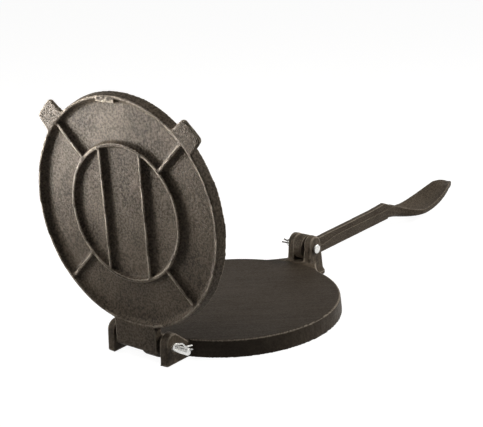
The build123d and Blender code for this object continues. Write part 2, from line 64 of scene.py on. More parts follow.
MM = 0.001
HINGE = joint_spot("plate_hinge")
LEVER = joint_spot("lever_pivot")
OPEN_ANGLE = math.radians(91.9)  # how far the plate stands open in the frame
VIEW_TURN = math.radians(-50.66)  # from +X to what is left to right in the photograph
BULGE = "bulge"  # a casting's attribute: 1 on its sharpest edges, -1 in its tightest corners


# ---------------------------------------------------------------- settings
def colour_setting(name, description, colour):
    """A colour that the user can change."""
    return bpy.props.FloatVectorProperty(
        name=name, description=description, subtype="COLOR", size=4,
        default=(*colour, 1), min=0, max=1)


def length_setting(name, description, default, low, high):
    """A length that the user can change, given in mm."""
    return bpy.props.FloatProperty(
        name=name, description=description, subtype="DISTANCE", unit="LENGTH",
        default=default * MM, min=low * MM, max=high * MM)


def roughness_setting(description, default):
    """A roughness that the user can change."""
    return bpy.props.FloatProperty(
        name="Roughness", description=description, subtype="FACTOR",
        default=default, min=0, max=1)


class PressIron(bpy.types.PropertyGroup):
    """Cast iron of the base, the press plate and the lever."""

    skin: colour_setting("Skin", "Colour of the cast skin", (0.165, 0.134, 0.101))
    dark: colour_setting(
        "Dark", "Colour of the pits and the oiled patches", (0.034, 0.026, 0.019))
    # The pressing face's colour is partly the oiled face's own darker colour and partly painted
    # shade.
    pressing: colour_setting(
        "Pressing face", "Colour of the smooth, oiled pressing face", (0.056, 0.045, 0.034))
    # The edge colour paints worn edges together with a painted highlight on them.
    edge: colour_setting("Edge", "Colour of the rubbed edges", (0.42, 0.365, 0.30))
    grain: length_setting("Grain", "Size of the sand grain in the skin", 1.8, 0.1, 10)
    relief: length_setting("Relief", "Height of the sand grain", 0.6, 0, 2)
    roughness: roughness_setting("Roughness of the skin", 0.54)


class PressSteel(bpy.types.PropertyGroup):
    """Bright plated steel of the pins and clips."""

    plating: colour_setting("Plating", "Colour of the zinc plating", (0.88, 0.88, 0.86))
    roughness: roughness_setting("Roughness of the plating", 0.24)


class PressStudio(bpy.types.PropertyGroup):
    """White table, lamps and camera."""

    table: colour_setting("Table", "Colour of the table", (0.25, 0.25, 0.25))
    glow: bpy.props.FloatProperty(
        name="Table white", description="White added to the table where the camera sees it",
        default=0.945, min=0, max=1)
    key: bpy.props.FloatProperty(
        name="Key lamp", description="Light of the low lamp at the left, where it is aimed",
        default=7.4, min=0)
    fill: bpy.props.FloatProperty(
        name="Fill lamps", description="Light of the other lamps, 1 is as drawn",
        default=1.0, min=0)
    sky: bpy.props.FloatProperty(
        name="Room", description="Strength of the room light", default=0.04, min=0)
    lens: bpy.props.FloatProperty(
        name="Lens", description="Focal length on a 36 mm wide sensor",
        subtype="DISTANCE_CAMERA", default=96.9, min=10, max=400)


SETTINGS = {"press_iron": PressIron, "press_steel": PressSteel, "press_studio": PressStudio}


# ---------------------------------------------------------------- shader nodes
def feed(tree, socket, value):
    """Links the value to the socket if it comes from a node, and otherwise sets it."""
    if isinstance(value, bpy.types.NodeSocket):
        tree.links.new(value, socket)
    else:
        socket.default_value = value


def math_node(tree, operation, a, b, clamp=False):
    """Result of a Math node on two values."""
    node = tree.nodes.new("ShaderNodeMath")
    node.operation = operation
    node.use_clamp = clamp
    feed(tree, node.inputs[0], a)
    feed(tree, node.inputs[1], b)
    return node.outputs[0]


def product(tree, a, b, clamp=False):
    """One value times another."""
    return math_node(tree, "MULTIPLY", a, b, clamp)


def total(tree, a, b):
    """One value plus another."""
    return math_node(tree, "ADD", a, b)


def vector_node(tree, operation, a, b=None):
    """A Vector Math node on one or two vectors."""
    node = tree.nodes.new("ShaderNodeVectorMath")
    node.operation = operation
    feed(tree, node.inputs[0], a)
    if b is not None:
        feed(tree, node.inputs[1], b)
    return node


def place_on_press(tree):
    """Place on the press, in metres."""
    return tree.nodes.new("ShaderNodeTexCoord").outputs["Object"]


def ramp_value(tree, value, low, high, to_low=0.0, to_high=1.0):
    """A smooth step: to_low where the value is at low, to_high where it is at high."""
    node = tree.nodes.new("ShaderNodeMapRange")
    node.interpolation_type = "SMOOTHSTEP"
    for name, number in (("From Min", low), ("From Max", high),
                         ("To Min", to_low), ("To Max", to_high)):
        node.inputs[name].default_value = number
    tree.links.new(value, node.inputs["Value"])
    return node.outputs["Result"]


def noise_node(tree, vector, scale, detail=4.0, rough=0.55, offset=None):
    """Cloudy noise, moved by the offset so that two layers don't match."""
    node = tree.nodes.new("ShaderNodeTexNoise")
    node.inputs["Detail"].default_value = detail
    node.inputs["Roughness"].default_value = rough
    if offset is not None:
        vector = vector_node(tree, "ADD", vector, offset).outputs[0]
    tree.links.new(vector, node.inputs["Vector"])
    feed(tree, node.inputs["Scale"], scale)
    return node.outputs["Fac"]


def mix(tree, kind, factor, a, b):
    """Two values or colours mixed: a where the factor is 0, b where it is 1."""
    node = tree.nodes.new("ShaderNodeMix")
    node.data_type = kind
    for name, value in (("Factor", factor), ("A", a), ("B", b)):
        feed(tree, node.inputs[name], value)
    return node.outputs["Result"]


# ---------------------------------------------------------------- shader groups
# Scales of the sand skin's layers, against its grain's: more is finer
FINE_SCALE = 3.1
LUMP_SCALE = 0.22
PIT_SCALE = 0.7
# Scales for 1 m: patches with pits, blotches, patches on the rubbed edges, and wiping marks
PITTED_SCALE = 60.0
BLOTCH_SCALE = 24.0
PATCH_SCALE = 420.0
MARK_SCALE = 260.0
# Shares of the layers in the skin's height, and then in its tone
GRAIN_HEIGHT = 0.75
FINE_HEIGHT = 0.22
LUMP_HEIGHT = 0.5
PIT_DEPTH = 0.4
BLOTCH_TONE = 0.4
GRAIN_TONE = 0.6
# Squeeze of the wiping marks along and up: less makes them longer and taller
MARK_LENGTH = 0.05
MARK_HEIGHT = 0.3


def new_group(name, inputs, outputs):
    """An empty shader group with these inputs, each with its default, and these outputs."""
    tree = bpy.data.node_groups.new(name, "ShaderNodeTree")
    for socket_name, default in inputs.items():
        socket = tree.interface.new_socket(
            name=socket_name, in_out="INPUT", socket_type="NodeSocketFloat")
        socket.default_value = default
    for socket_name in outputs:
        tree.interface.new_socket(
            name=socket_name, in_out="OUTPUT", socket_type="NodeSocketFloat")
    given = tree.nodes.new("NodeGroupInput").outputs
    out = tree.nodes.new("NodeGroupOutput").inputs
    return tree, given, out


def sand_skin_group(name):
    """Sand-cast skin: height of the grain, blotches of tone, and pits."""
    tree, given, out = new_group(
        name, {"Grain": 2.0 * MM, "Pits": 0.5}, ("Height", "Tone", "Pit"))
    where = place_on_press(tree)
    scale = math_node(tree, "DIVIDE", 1.0, given["Grain"])
    grain = noise_node(tree, where, scale, 2.0, 0.5)
    fine = noise_node(tree, where, product(tree, scale, FINE_SCALE), 3.0, 0.6, (0.3, 0.1, 0.7))
    lumps = noise_node(tree, where, product(tree, scale, LUMP_SCALE), 3.0, 0.5, (0.6, 0.2, 0.4))
    blotch = noise_node(tree, where, BLOTCH_SCALE, 4.0, 0.6, (0.5, 0.8, 0.1))
    pitted = noise_node(tree, where, PITTED_SCALE, 2.0, 0.5, (0.9, 0.4, 0.2))

    cells = tree.nodes.new("ShaderNodeTexVoronoi")
    tree.links.new(where, cells.inputs["Vector"])
    tree.links.new(product(tree, scale, PIT_SCALE), cells.inputs["Scale"])
    pit = ramp_value(tree, cells.outputs["Distance"], 0.10, 0.34, 1.0, 0.0)
    pit = product(tree, product(tree, pit, ramp_value(tree, pitted, 0.45, 0.7)), given["Pits"])

    height = total(tree, product(tree, grain, GRAIN_HEIGHT), product(tree, fine, FINE_HEIGHT))
    height = total(tree, height, product(tree, lumps, LUMP_HEIGHT))
    height = math_node(tree, "SUBTRACT", height, product(tree, pit, PIT_DEPTH))
    tone = total(tree, product(tree, ramp_value(tree, blotch, 0.3, 0.72), BLOTCH_TONE),
                 product(tree, ramp_value(tree, grain, 0.34, 0.66), GRAIN_TONE))
    tree.links.new(height, out["Height"])
    tree.links.new(tone, out["Tone"])
    tree.links.new(pit, out["Pit"])
    return tree


def worn_edge_and_highlight_group(name):
    """Masks of worn edges with a painted highlight and of painted corner shade, from the piece's
    own bulge.
    """
    tree, given, out = new_group(name, {"Rub": 0.8, "Grime": 0.6}, ("Rubbed", "Grimy"))
    bulge = tree.nodes.new("ShaderNodeAttribute")
    bulge.attribute_name = BULGE
    patches = noise_node(tree, place_on_press(tree), PATCH_SCALE, 4.0, 0.6)
    # Worn edges with a painted highlight along the sharpest edges, broken into patches.
    worn_and_highlit = product(tree, ramp_value(tree, bulge.outputs["Fac"], 0.2, 0.42),
                     ramp_value(tree, patches, 0.34, 0.6, 0.55, 0.95))
    # Painted shade in the tightest corners, where the bulge is below zero.
    shaded_corners = ramp_value(tree, bulge.outputs["Fac"], -0.1, -0.5)
    tree.links.new(product(tree, worn_and_highlit, given["Rub"], True), out["Rubbed"])
    tree.links.new(product(tree, shaded_corners, given["Grime"], True), out["Grimy"])
    return tree


def wiping_marks_group(name):
    """Tone of long wiping marks, which run from left to right in the photograph."""
    tree, given, out = new_group(name, {"Length": MARK_LENGTH}, ("Tone",))
    turned = tree.nodes.new("ShaderNodeMapping")
    turned.vector_type = "TEXTURE"
    turned.inputs["Rotation"].default_value = (0, 0, VIEW_TURN)
    tree.links.new(place_on_press(tree), turned.inputs["Vector"])
    squeeze = tree.nodes.new("ShaderNodeCombineXYZ")
    tree.links.new(given["Length"], squeeze.inputs["X"])
    squeeze.inputs["Y"].default_value = 1.0
    squeeze.inputs["Z"].default_value = MARK_HEIGHT
    shrunk = vector_node(tree, "MULTIPLY", turned.outputs["Vector"], squeeze.outputs["Vector"])
    marks = noise_node(tree, shrunk.outputs[0], MARK_SCALE, 6.0, 0.62)
    tree.links.new(ramp_value(tree, marks, 0.34, 0.68), out["Tone"])
    return tree


GROUPS = {
    "Sand skin": sand_skin_group,
    "Worn edge and highlight": worn_edge_and_highlight_group,
    "Wiping marks": wiping_marks_group,
}


def place_group(tree, name, values):
    """Outputs of a shader group with these input values. Its first use makes the group."""
    node = tree.nodes.new("ShaderNodeGroup")
    node.node_tree = bpy.data.node_groups.get(name) or GROUPS[name](name)
    for socket_name, value in values.items():
        node.inputs[socket_name].default_value = value
    return node.outputs


# ---------------------------------------------------------------- materials
IRON_SHEEN = 0.1  # specular level of the oiled iron
IRON_ROUGHER = (0.08, -0.06)  # added to the roughness where the tone is dark and where pale
CORNER_SHADE_SHARE = 0.75  # how much of the painted shade in the corners shows
CORNER_SHADE_TONE = 0.4  # of the painted corner shade, against the dark of the iron
DISC_END = (99.0 * MM, 104.0 * MM)  # from the base's pressing face to its ears, off the middle
DULL_SHADE = 0.72  # of the plating where it's handled, against the bright
STEEL_METAL = 0.85
STEEL_ROUGHER = (-0.08, 0.12)  # added to the roughness where the clouds are thin and thick
CLOUD_SCALE = 420.0  # of the clouds in the plating, for 1 m
SCRATCH_SCALE = 1500.0
SCRATCH_HEIGHT = 0.02 * MM


def shade(colour, share):
    """The colour, darkened to this share."""
    return (*(c * share for c in colour[:3]), 1)


def new_material(name):
    """A new material of this name in place of an older one, with its nodes and its shader."""
    if name in bpy.data.materials:
        bpy.data.materials.remove(bpy.data.materials[name])
    material = bpy.data.materials.new(name)
    material.use_nodes = True
    return material, material.node_tree, material.node_tree.nodes["Principled BSDF"]


def add_bump(tree, shader, height, distance):
    """Bump of this height on the shader."""
    bump = tree.nodes.new("ShaderNodeBump")
    bump.inputs["Distance"].default_value = distance
    tree.links.new(height, bump.inputs["Height"])
    tree.links.new(bump.outputs["Normal"], shader.inputs["Normal"])


def iron_material(name, skin, dark, roughness, grain_share=1.0, relief_share=1.0, pits=0.5,
                  wear_and_highlight=0.85, wiped=0.0, ears=None):
    """Sand-cast iron: grain, blotches, pits, worn edges with a painted highlight, painted corner
    shade.

    wiped is the share of wiping marks in its tone. ears is the skin's colour beyond the disc.
    """
    iron = bpy.context.scene.press_iron
    material, tree, shader = new_material(name)
    sand = place_group(tree, "Sand skin", {"Grain": iron.grain * grain_share, "Pits": pits})
    edge = place_group(tree, "Worn edge and highlight", {"Rub": wear_and_highlight, "Grime": CORNER_SHADE_SHARE})
    if ears:
        flat = vector_node(tree, "MULTIPLY", place_on_press(tree), (1, 1, 0))
        off_middle = vector_node(tree, "LENGTH", flat.outputs[0])
        beyond = ramp_value(tree, off_middle.outputs["Value"], *DISC_END)
        skin = mix(tree, "RGBA", beyond, skin, ears)
    tone = sand["Tone"]
    if wiped:
        marks = place_group(tree, "Wiping marks", {"Length": MARK_LENGTH})
        tone = mix(tree, "FLOAT", wiped, tone, marks["Tone"])
    colour = mix(tree, "RGBA", tone, dark, skin)
    colour = mix(tree, "RGBA", sand["Pit"], colour, iron.dark)
    # Painted shade in the corners, darker than the iron's dark colour.
    colour = mix(tree, "RGBA", edge["Grimy"], colour, shade(iron.dark, CORNER_SHADE_TONE))
    # Worn edges with a painted highlight.
    colour = mix(tree, "RGBA", edge["Rubbed"], colour, iron.edge)
    tree.links.new(colour, shader.inputs["Base Color"])
    rough = ramp_value(tree, sand["Tone"], 0.0, 1.0, *(roughness + more for more in IRON_ROUGHER))
    tree.links.new(rough, shader.inputs["Roughness"])
    shader.inputs["Specular IOR Level"].default_value = IRON_SHEEN
    add_bump(tree, shader, sand["Height"], iron.relief * relief_share)
    return material


def steel_material(name):
    """Bright plated steel with faint handling marks."""
    steel = bpy.context.scene.press_steel
    material, tree, shader = new_material(name)
    where = place_on_press(tree)
    cloud = noise_node(tree, where, CLOUD_SCALE, 4.0, 0.6)
    colour = mix(tree, "RGBA", ramp_value(tree, cloud, 0.35, 0.7),
                 shade(steel.plating, DULL_SHADE), tuple(steel.plating))
    rough = ramp_value(tree, cloud, 0.3, 0.7, *(steel.roughness + more for more in STEEL_ROUGHER))
    tree.links.new(colour, shader.inputs["Base Color"])
    tree.links.new(rough, shader.inputs["Roughness"])
    shader.inputs["Metallic"].default_value = STEEL_METAL
    add_bump(tree, shader, noise_node(tree, where, SCRATCH_SCALE, 3.0, 0.5), SCRATCH_HEIGHT)
    return material


# ---------------------------------------------------------------- castings
WELD = 0.002 * MM  # corners nearer than this are one
EDGE_PASSES = 8  # passes of the smoothed copy that the edges are found with
LUMPS_PER_M = 380.0  # scales of the sand's lumps and of the finer ones on them
FINE_PER_M = 800.0
FINE_LUMPS = 0.6  # the finer lumps, against the others
GROUND_LUMPS = 0.25  # lumps of a ground face, against those of the skin
GROUND_ALIGNED = 0.95  # how nearly a face must look the ground way to be ground


def new_piece(name, data, material, node, body):
    """A piece that rides on this body, and stands for this CAD node if one is named."""
    piece = bpy.data.objects.new(name, data)
    bpy.context.scene.collection.objects.link(piece)
    data.materials.append(material)
    if node:
        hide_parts(node)
    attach(piece, body)


def welded_copy(node_name):
    """The CAD node's mesh as one closed bmesh."""
    bm = bmesh.new()
    bm.from_mesh(frame["nodes"][node_name].data)
    bmesh.ops.remove_doubles(bm, verts=bm.verts, dist=WELD)
    return bm


def softened(mesh, passes, voxel=None):
    """A new mesh, smoothed after it is cut into even faces, if a voxel's size is given."""
    blank = bpy.data.objects.new(mesh.name, mesh)
    bpy.context.scene.collection.objects.link(blank)
    if voxel:
        skin = blank.modifiers.new("skin", "REMESH")
        skin.mode = "VOXEL"
        skin.voxel_size = voxel
    soften = blank.modifiers.new("soften", "SMOOTH")
    soften.factor = 0.5
    soften.iterations = passes
    graph = bpy.context.evaluated_depsgraph_get()
    made = bpy.data.meshes.new_from_object(blank.evaluated_get(graph))
    bpy.data.objects.remove(blank)
    return made


def cast_mesh(name, bm, voxel, passes, lumps, ground=None):
    """Even small faces, edges rounded as a mould leaves them, and the lumps of the sand.

    voxel and lumps are in mm. The face that looks the ground way is nearly smooth.
    """
    rough = bpy.data.meshes.new(name)
    bm.to_mesh(rough)
    bm.free()
    mesh = softened(rough, passes, voxel * MM)
    bpy.data.meshes.remove(rough)
    mesh.name = name
    for vertex, normal in zip(mesh.vertices, [v.normal.copy() for v in mesh.vertices]):
        spot = vertex.co
        swell = noise.noise(spot * LUMPS_PER_M) + FINE_LUMPS * noise.noise(spot * FINE_PER_M)
        is_ground = ground is not None and normal.dot(ground) > GROUND_ALIGNED
        share = GROUND_LUMPS if is_ground else 1.0
        # The lumps only go inwards, so that the piece keeps within its solid.
        vertex.co = spot + normal * (lumps * MM) * share * min(swell * 0.5 - 0.5, 0)
    mark_bulge(mesh, 0.5 * (voxel * MM))
    mesh.shade_smooth()
    return mesh


def mark_bulge(mesh, unit):
    """Writes how far each vertex stands out of a smoothed copy of the mesh, in this unit."""
    smooth = softened(mesh, EDGE_PASSES)
    bulge = mesh.attributes.new(BULGE, "FLOAT", "POINT")
    for value, vertex, soft in zip(bulge.data, mesh.vertices, smooth.vertices):
        value.value = (vertex.co - soft.co).dot(vertex.normal) / unit
    bpy.data.meshes.remove(smooth)


def add_shell(bm, rings):
    """Closes rings of points into one shell of the bmesh."""
    made = [[bm.verts.new(point) for point in ring] for ring in rings]
    for first, second in zip(made, made[1:]):
        for k, corner in enumerate(first):
            bm.faces.new((corner, second[k], second[k - 1], first[k - 1]))
    bm.faces.new(made[0])
    bm.faces.new(reversed(made[-1]))


# ---------------------------------------------------------------- lever, mm from its pin
BAR_FROM = 20.0  # reach where the drawn bar and web begin, inside the CAD's bar
CAD_END = 23.0  # reach where the CAD's lever is cut off
LEVER_PAINTED_SHADE = 0.72  # painted shade: the lever's skin darkened, against the skin of the other castings
BAR_WIDTH = 9.0
BAR_TOP = -1.6
BAR_UNDER = -11.9
BAR_DIP = 3.0  # how far the bar's top dips towards the clevis, between the next two reaches
DIP_START = 27.0
DIP_END = 50.0
DIP_STEPS = 8
NOSE_REACH = 140.0  # reach of the nose, which presses on the closed plate
NOSE_HEIGHT = 5.7
NOSE_SLOPE = 26.0  # from the nose to where the web has sunk into the neck
WEB_WIDTH = 5.4
WEB_UNDER = -6.0
WEB_START = 3.05  # heights of the web's top at its start and at its knee
WEB_KNEE = 4.0
KNEE_REACH = 115
NECK_REACH = 159.5
NECK_WIDTH = 11.0
FULL_REACH = 196.4  # reach from which the handle has its full width
WIDEST_REACH = 200.5
HANDLE_WIDTH = 35.0
TIP_RUN = 75.5  # from the widest reach to the tip
TIP_POWER = 1.9  # of the tip's outline: 2 is half an ellipse
TIP_ROUND = 12.0  # last stretch of the tip, in which its height closes up
RIM_LOW = -13.6
RIM_TIP = -2.5
RIM_POWER = 1.7
RIM_EARLY = 1.3  # how early the rim is at the tip's height
RIM_SIDE = 4.3  # height of the rim's side
NECK_SIDE = 3.6  # how much higher the side is at the neck
NECK_ROUND = 0.15  # share of the neck's height that its side leaves to the round under it
RIM_ROUND = 1.2
BELLY_FROM = 192.6  # reaches between which the belly is at its lowest
BELLY_REACH = 209.0
BELLY_LOW = -21.4
BELLY_TIP = -11.6
BELLY_RISE = 0.67  # share of the tip's run in which the belly rises
BOWL = 4.6  # depth of the hollow top
BOWL_FROM = 171.5  # reach where the hollow begins
BOWL_POWER = 2.4  # of the hollow's curve across, and then of its end at the tip
BOWL_END = 4
TOP_STEPS = 14  # faces across half the top, round the rim and under the belly
RIM_STEPS = 6
BELLY_STEPS = 26
HANDLE_RINGS = 110
RING_POWER = 0.9  # how much closer together the rings are at the tip
LAST_RING = 0.9996  # share of the length at the last ring, which leaves it some width
OVERLAP = 0.5  # how far the handle begins before the nose


def ease(value, start, end):
    """0 before start, 1 after end, smooth between."""
    t = min(max((value - start) / (end - start), 0), 1)
    return t * t * (3 - 2 * t)


def lever_spot(reach, across, up):
    """A place on the lever, from its pin."""
    return LEVER + Vector((reach, across, up)) * MM


def add_slab(bm, outline, half_width):
    """A slab with this outline (reach, up), half_width to each side of the lever's middle."""
    add_shell(bm, [[lever_spot(reach, side * half_width, up) for reach, up in outline]
                   for side in (-1, 1)])


def handle_ring(reach):
    """Outline of the handle across at this reach: hollow top, rounded rim, bellied underside."""
    # Half the width, which ends in a rounded tip
    to_neck = ease(reach, NOSE_REACH, NECK_REACH)
    to_handle = ease(reach, NECK_REACH, FULL_REACH)
    tip = min(max((reach - WIDEST_REACH) / TIP_RUN, 0), 1)
    width = (BAR_WIDTH + (NECK_WIDTH - BAR_WIDTH) * to_neck
             + (HANDLE_WIDTH - NECK_WIDTH) * to_handle)
    half = width / 2 * math.sqrt(1 - tip**TIP_POWER)

    # Heights of the rim and of the belly, which close up at the tip
    if reach < WIDEST_REACH:
        bow = ((WIDEST_REACH - reach) / (WIDEST_REACH - NECK_REACH)) ** RIM_POWER
        rim = min(RIM_LOW + (BAR_TOP - RIM_LOW) * bow, BAR_TOP)
    else:
        rim = min(RIM_LOW + (RIM_TIP - RIM_LOW) * (RIM_EARLY * tip) ** RIM_POWER, RIM_TIP)
    if reach < BELLY_REACH:
        low = BAR_UNDER + (BELLY_LOW - BAR_UNDER) * ease(reach, NOSE_REACH, BELLY_FROM)
    else:
        rise = ((reach - BELLY_REACH) / (BELLY_RISE * TIP_RUN)) ** 2
        low = min(BELLY_LOW + (BELLY_TIP - BELLY_LOW) * rise, BELLY_TIP)
    close = math.sqrt(1 - max((reach - WIDEST_REACH - TIP_RUN + TIP_ROUND) / TIP_ROUND, 0) ** 2)
    middle = (rim + low) / 2
    rim = middle + (rim - middle) * close
    low = middle + (low - middle) * close

    # Height of the side, depth of the hollow, and the rim's round, small enough to fit
    side = min(RIM_SIDE + NECK_SIDE * (1 - to_handle),
               (rim - low) * (1 - NECK_ROUND * to_neck)) * close
    hollow = BOWL * ease(reach, BOWL_FROM, WIDEST_REACH) * (1 - tip**BOWL_END) * close
    soft = min(RIM_ROUND, half * 0.4, side * 0.45)
    run = half - soft
    turns = [math.pi / 2 * k / RIM_STEPS for k in range(RIM_STEPS + 1)]
    sweep = [math.pi * k / BELLY_STEPS for k in range(BELLY_STEPS + 1)]
    top = [(run * k / TOP_STEPS, rim - hollow * (1 - abs(k / TOP_STEPS) ** BOWL_POWER))
           for k in range(-TOP_STEPS, TOP_STEPS + 1)]
    near = [(run + soft * math.sin(a), rim - soft + soft * math.cos(a)) for a in turns[1:]]
    belly = [(half * math.cos(a), rim - side - (rim - side - low) * math.sin(a)) for a in sweep]
    far = [(-run - soft * math.cos(a), rim - soft + soft * math.sin(a)) for a in turns[:-1]]
    return [lever_spot(reach, across, up) for across, up in top + near + belly + far]


def bar_outline():
    """Side of the bar, whose top dips towards the clevis."""
    dip = [DIP_END - (DIP_END - DIP_START) * k / DIP_STEPS for k in range(DIP_STEPS + 1)]
    return [
        (BAR_FROM, BAR_UNDER), (NOSE_REACH + 3, BAR_UNDER), (NOSE_REACH + 3, BAR_TOP),
        *((reach, BAR_TOP - BAR_DIP + BAR_DIP * ease(reach, DIP_START, DIP_END)) for reach in dip),
        (BAR_FROM, BAR_TOP - BAR_DIP),
    ]


def web_outline():
    """Side of the thin web on the bar, which rises to the nose."""
    return [
        (BAR_FROM, WEB_UNDER), (NOSE_REACH + NOSE_SLOPE, WEB_UNDER),
        (NOSE_REACH + 7, NOSE_HEIGHT - 3.2), (NOSE_REACH + 2.2, NOSE_HEIGHT - 1.0),
        (NOSE_REACH - 0.4, NOSE_HEIGHT - 0.2), (NOSE_REACH - 3, NOSE_HEIGHT - 0.6),
        (KNEE_REACH, WEB_KNEE), (BAR_FROM, WEB_START),
    ]


def handle_reaches():
    """Reaches of the handle's rings, closer together towards the tip."""
    length = WIDEST_REACH + TIP_RUN - NOSE_REACH + OVERLAP
    for k in range(HANDLE_RINGS + 1):
        run = length * math.sin(math.pi / 2 * k / HANDLE_RINGS) ** RING_POWER
        yield NOSE_REACH - OVERLAP + run * LAST_RING


def lever_bmesh():
    """The CAD lever's knuckle, and from there the bar, the web and the handle, in one bmesh."""
    bm = welded_copy("lever")
    cut = bmesh.ops.bisect_plane(
        bm, geom=bm.verts[:] + bm.edges[:] + bm.faces[:], clear_outer=True,
        plane_co=lever_spot(CAD_END, 0, 0), plane_no=(1, 0, 0))
    edges = [e for e in cut["geom_cut"] if isinstance(e, bmesh.types.BMEdge)]
    bmesh.ops.triangle_fill(bm, edges=edges)
    add_slab(bm, bar_outline(), BAR_WIDTH / 2)
    add_slab(bm, web_outline(), WEB_WIDTH / 2)
    add_shell(bm, [handle_ring(reach) for reach in handle_reaches()])
    bmesh.ops.recalc_face_normals(bm, faces=bm.faces[:])
    return bm


# ---------------------------------------------------------------- gate stub, mm on the plate
PLATE_MIDDLE = 114.0  # from the hinge to the middle of the plate
PLATE_BACK = 0.6  # from the hinge out to the plane that the ribbed side is measured from
STUB_MIDDLE = (94.2, 8.5, 6.7)
STUB_SIZE = (5.2, 21.0, 5.4)
STUB_SKIN = (0.80, 0.70, 0.58, 1)
STUB_DARK = (0.16, 0.135, 0.11, 1)
STUB_ROUGHNESS = 0.6


def plate_spot(up, across, out):
    """A place on the open plate: from its middle to its free end, along the hinge, and out."""
    along = Vector((math.cos(OPEN_ANGLE), 0, math.sin(OPEN_ANGLE)))
    outward = Vector((-math.sin(OPEN_ANGLE), 0, math.cos(OPEN_ANGLE)))
    return HINGE + (along * (up + PLATE_MIDDLE) + Vector((0, across, 0))
                    + outward * (out + PLATE_BACK)) * MM


def gate_stub_bmesh():
    """Block of iron left on the rim where the casting's gate was broken off."""
    bm = bmesh.new()
    for corner in bmesh.ops.create_cube(bm, size=1.0)["verts"]:
        corner.co = plate_spot(*(middle + size * share for middle, size, share
                                 in zip(STUB_MIDDLE, STUB_SIZE, corner.co)))
    bmesh.ops.recalc_face_normals(bm, faces=bm.faces[:])
    return bm


# ---------------------------------------------------------------- pins and clips, mm
PIN_RADIUS = 3.0
PIN_SIDES = 48
PIN_CREASE = math.radians(50)  # corners sharper than this aren't shaded smooth
# Outline of a pin: off the tail's end and the shaft's radius, off the head's end and radius
PIN_TAIL = ((0, -0.6), (0.18, -0.25), (0.6, 0))
PIN_HEAD = ((-2.8, -0.3), (-2.5, 0), (-1.1, 0), (-0.55, -0.3), (-0.25, -0.9), (-0.08, -2.2),
            (0, -3.6))
CLIP_WIRE = 1.6
CLIP_ROUND = 6  # steps of the wire's round section
# A clip's corners, from where its straight leg goes through the pin, and the radius of each bend
CLIP_ROUTE = [(16.0, 0.0), (-8.2, 0.0), (-8.2, 4.7), (2.1, 4.7), (7.1, 2.0), (14.5, 3.2)]
CLIP_BENDS = [2.3, 2.3, 3.5, 4.0]
BEND_STEPS = 10
# Each clip's node, the joint that it sits at, its place along Y, its leg's turn from +X in
# degrees, and the side of the press that it's on
CLIPS = (
    ("hinge_clip", HINGE, -40.2, -19, -1),
    ("lever_clip", LEVER, 15.8, 157, 1),
)


def pin_mesh(node_name, head_side):
    """A turned pin: a domed head at its head_side end of Y, and a broken edge at its tail."""
    low, high = (Vector(corner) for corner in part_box(node_name))
    middle = (low + high) / 2
    head = (high.x - low.x) / 2 / MM
    length = (high.y - low.y) / MM
    profile = [
        *((along, PIN_RADIUS + off) for along, off in PIN_TAIL),
        (length + PIN_HEAD[0][0], PIN_RADIUS),
        *((length + along, head + off) for along, off in PIN_HEAD),
    ]
    start = low.y if head_side > 0 else high.y
    turns = [2 * math.pi * k / PIN_SIDES for k in range(PIN_SIDES)]
    bm = bmesh.new()
    add_shell(bm, [[(middle.x + radius * MM * math.cos(turn), start + head_side * along * MM,
                     middle.z + radius * MM * math.sin(turn)) for turn in turns]
                   for along, radius in profile])
    bmesh.ops.recalc_face_normals(bm, faces=bm.faces[:])
    mesh = bpy.data.meshes.new(node_name + "_turned")
    bm.to_mesh(mesh)
    bm.free()
    mesh.shade_smooth()
    mesh.set_sharp_from_angle(angle=PIN_CREASE)
    return mesh


def bent_route(corners, bends):
    """The corners' polyline with an arc of the given radius at each inner corner."""
    route = [corners[0]]
    for before, corner, after, radius in zip(corners, corners[1:], corners[2:], bends):
        corner, to_before, to_after = Vector(corner), Vector(before), Vector(after)
        to_before = (to_before - corner).normalized()
        to_after = (to_after - corner).normalized()
        half = to_before.angle(to_after) / 2
        centre = corner + (to_before + to_after).normalized() * radius / math.sin(half)
        start = corner + to_before * radius / math.tan(half) - centre
        end = corner + to_after * radius / math.tan(half) - centre
        sweep = start.angle_signed(end)
        for k in range(BEND_STEPS + 1):
            turn = -sweep * k / BEND_STEPS
            route.append((centre.x + start.x * math.cos(turn) - start.y * math.sin(turn),
                          centre.y + start.x * math.sin(turn) + start.y * math.cos(turn)))
    return route + [corners[-1]]


def clip_curve(name, spot, turn, outward):
    """A hairpin clip of round wire: its straight leg runs through the spot at this turn."""
    along = Vector((math.cos(turn), 0, math.sin(turn)))
    rise = Vector((0, outward, 0)).cross(along)
    curve = bpy.data.curves.new(name, "CURVE")
    curve.dimensions = "3D"
    curve.bevel_depth = CLIP_WIRE / 2 * MM
    curve.bevel_resolution = CLIP_ROUND
    curve.use_fill_caps = True
    route = bent_route(CLIP_ROUTE, CLIP_BENDS)
    line = curve.splines.new("POLY")
    line.points.add(len(route) - 1)
    for point, (x, y) in zip(line.points, route):
        point.co = (*(spot + (along * x + rise * y) * MM), 1)
    return curve


# ---------------------------------------------------------------- studio
TABLE_HALF = 12.0
TABLE_GAP = 0.3 * MM  # between the press and the table, so that their faces don't meet
TABLE_ROUGHNESS = 0.9
ROOM_COLOUR = (1, 0.99, 0.97, 1)
ROOM_LOW = 0.35  # shares of the room light, low down and overhead
ROOM_HIGH = 1.6
ROOM_SHOWN = 0.6  # white that only reflections see
KEY_COLOUR = (1, 0.96, 0.91)
FILL_COLOUR = (1, 0.96, 0.90)
LAMP_CENTRE = -0.10  # X of the place that the lamps stand round
WIDE_AIM = (-0.10, 0.0, 0.12)
